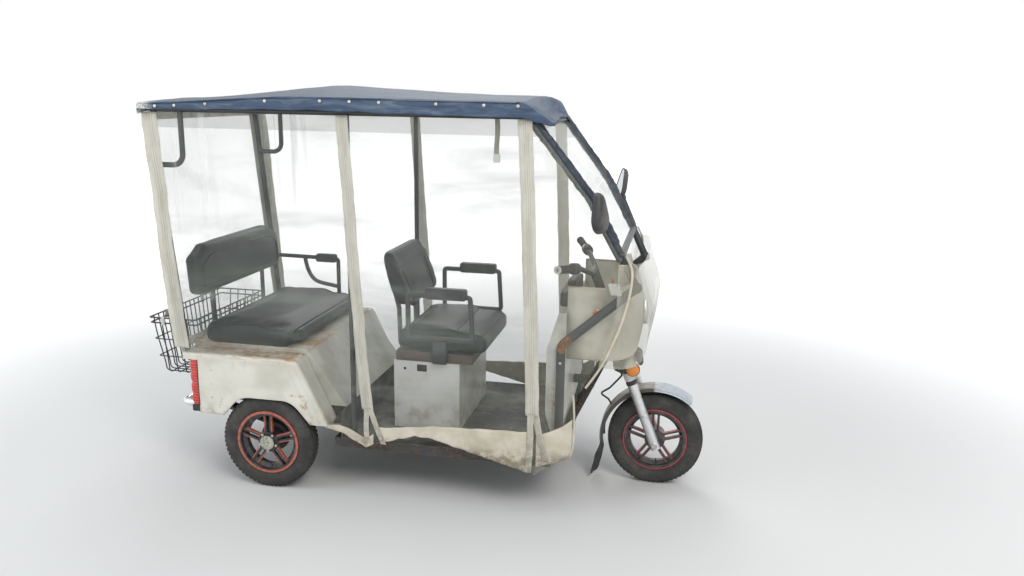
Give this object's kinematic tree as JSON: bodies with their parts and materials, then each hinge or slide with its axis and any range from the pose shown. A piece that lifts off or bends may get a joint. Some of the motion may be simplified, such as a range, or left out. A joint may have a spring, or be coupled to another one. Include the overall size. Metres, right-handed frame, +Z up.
{
  "type": "electric passenger trike",
  "caption": "Passenger electric three-wheeler with a raked windscreen, vinyl roof, clear weather curtains, bench seat, driver's seat, rear basket and steered front fork.",
  "frame": {"origin": "on the ground under the middle of the vehicle's length, on its centre plane", "axes": "+X forward, +Y to the vehicle's left, +Z up"},
  "size_m": [2.4299, 1.148, 1.6819],
  "materials": {
    "body_white": "satin",
    "roof_vinyl": "matte",
    "clear_vinyl": "glossy",
    "frame_black": "satin",
    "steel_bare": "satin",
    "fork_silver": "satin",
    "chrome": "glossy",
    "tyre_black": "matte",
    "rim_black": "satin",
    "seat_black": "satin",
    "rubber_black": "matte",
    "plastic_black": "satin",
    "lamp_red": "glossy",
    "lamp_orange": "glossy",
    "lamp_clear": "glossy",
    "glass_clear": "glossy",
    "shield_white": "satin",
    "battery_case": "matte"
  },
  "bodies": {
    "chassis": {"chassis_frame": "frame_black", "floor_pan": "steel_bare", "rear_axle": "steel_bare", "drive_motor": "plastic_black", "leaf_springs": "steel_bare", "battery_pack": "battery_case", "quarter_panel_right": "body_white", "quarter_panel_left": "body_white", "rear_seat_base": "body_white", "tail_lamps": "lamp_red", "rear_bumper": "chrome", "rear_basket": "frame_black", "roof_frame": "frame_black", "roof_cover": "roof_vinyl", "windscreen_frame": "frame_black", "windscreen_pane": "glass_clear", "side_curtain_right": "clear_vinyl", "side_curtain_left": "clear_vinyl", "corner_curtain_right": "clear_vinyl", "corner_curtain_left": "clear_vinyl", "rear_curtain": "clear_vinyl", "front_apron": "clear_vinyl", "front_fairing": "body_white", "headlamp": "lamp_clear", "leg_shield": "shield_white", "dash_panel": "plastic_black", "mirrors": "plastic_black", "rear_seat_cushion": "seat_black", "rear_seat_backrest": "seat_black", "rear_seat_frame": "frame_black", "driver_seat_box": "shield_white", "driver_seat_frame": "frame_black", "driver_seat_cushion": "seat_black", "driver_seat_backrest": "seat_black", "driver_armrests": "frame_black"},
    "steering": {"fork_yokes": "frame_black", "fork_sliders": "fork_silver", "handlebar": "frame_black", "hand_grips": "rubber_black", "switch_housings": "plastic_black", "front_mudguard": "chrome", "mud_flap": "rubber_black", "front_indicators": "lamp_orange", "horn": "plastic_black", "brake_hose": "rubber_black"},
    "rear_right_wheel": {"rear_right_tyre": "tyre_black", "rear_right_rim": "rim_black"},
    "rear_left_wheel": {"rear_left_tyre": "tyre_black", "rear_left_rim": "rim_black"},
    "front_wheel": {"front_tyre": "tyre_black", "front_rim": "rim_black"}
  },
  "joints": [
    {"name": "steering_turn", "type": "hinge", "parent": "chassis", "child": "steering", "pos_m": [0.97755, 0, 0.19189], "axis": [-0.3746, 0, 0.9272], "range_deg": [-35, 35]},
    {"name": "front_wheel_spin", "type": "hinge", "parent": "steering", "child": "front_wheel", "pos_m": [1.01, 0, 0.205], "axis": [0, 1, 0], "continuous": true},
    {"name": "rear_right_wheel_spin", "type": "hinge", "parent": "chassis", "child": "rear_right_wheel", "pos_m": [-0.595, -0.415, 0.205], "axis": [0, 1, 0], "continuous": true},
    {"name": "rear_left_wheel_spin", "type": "hinge", "parent": "chassis", "child": "rear_left_wheel", "pos_m": [-0.595, 0.415, 0.205], "axis": [0, 1, 0], "continuous": true}
  ]
}
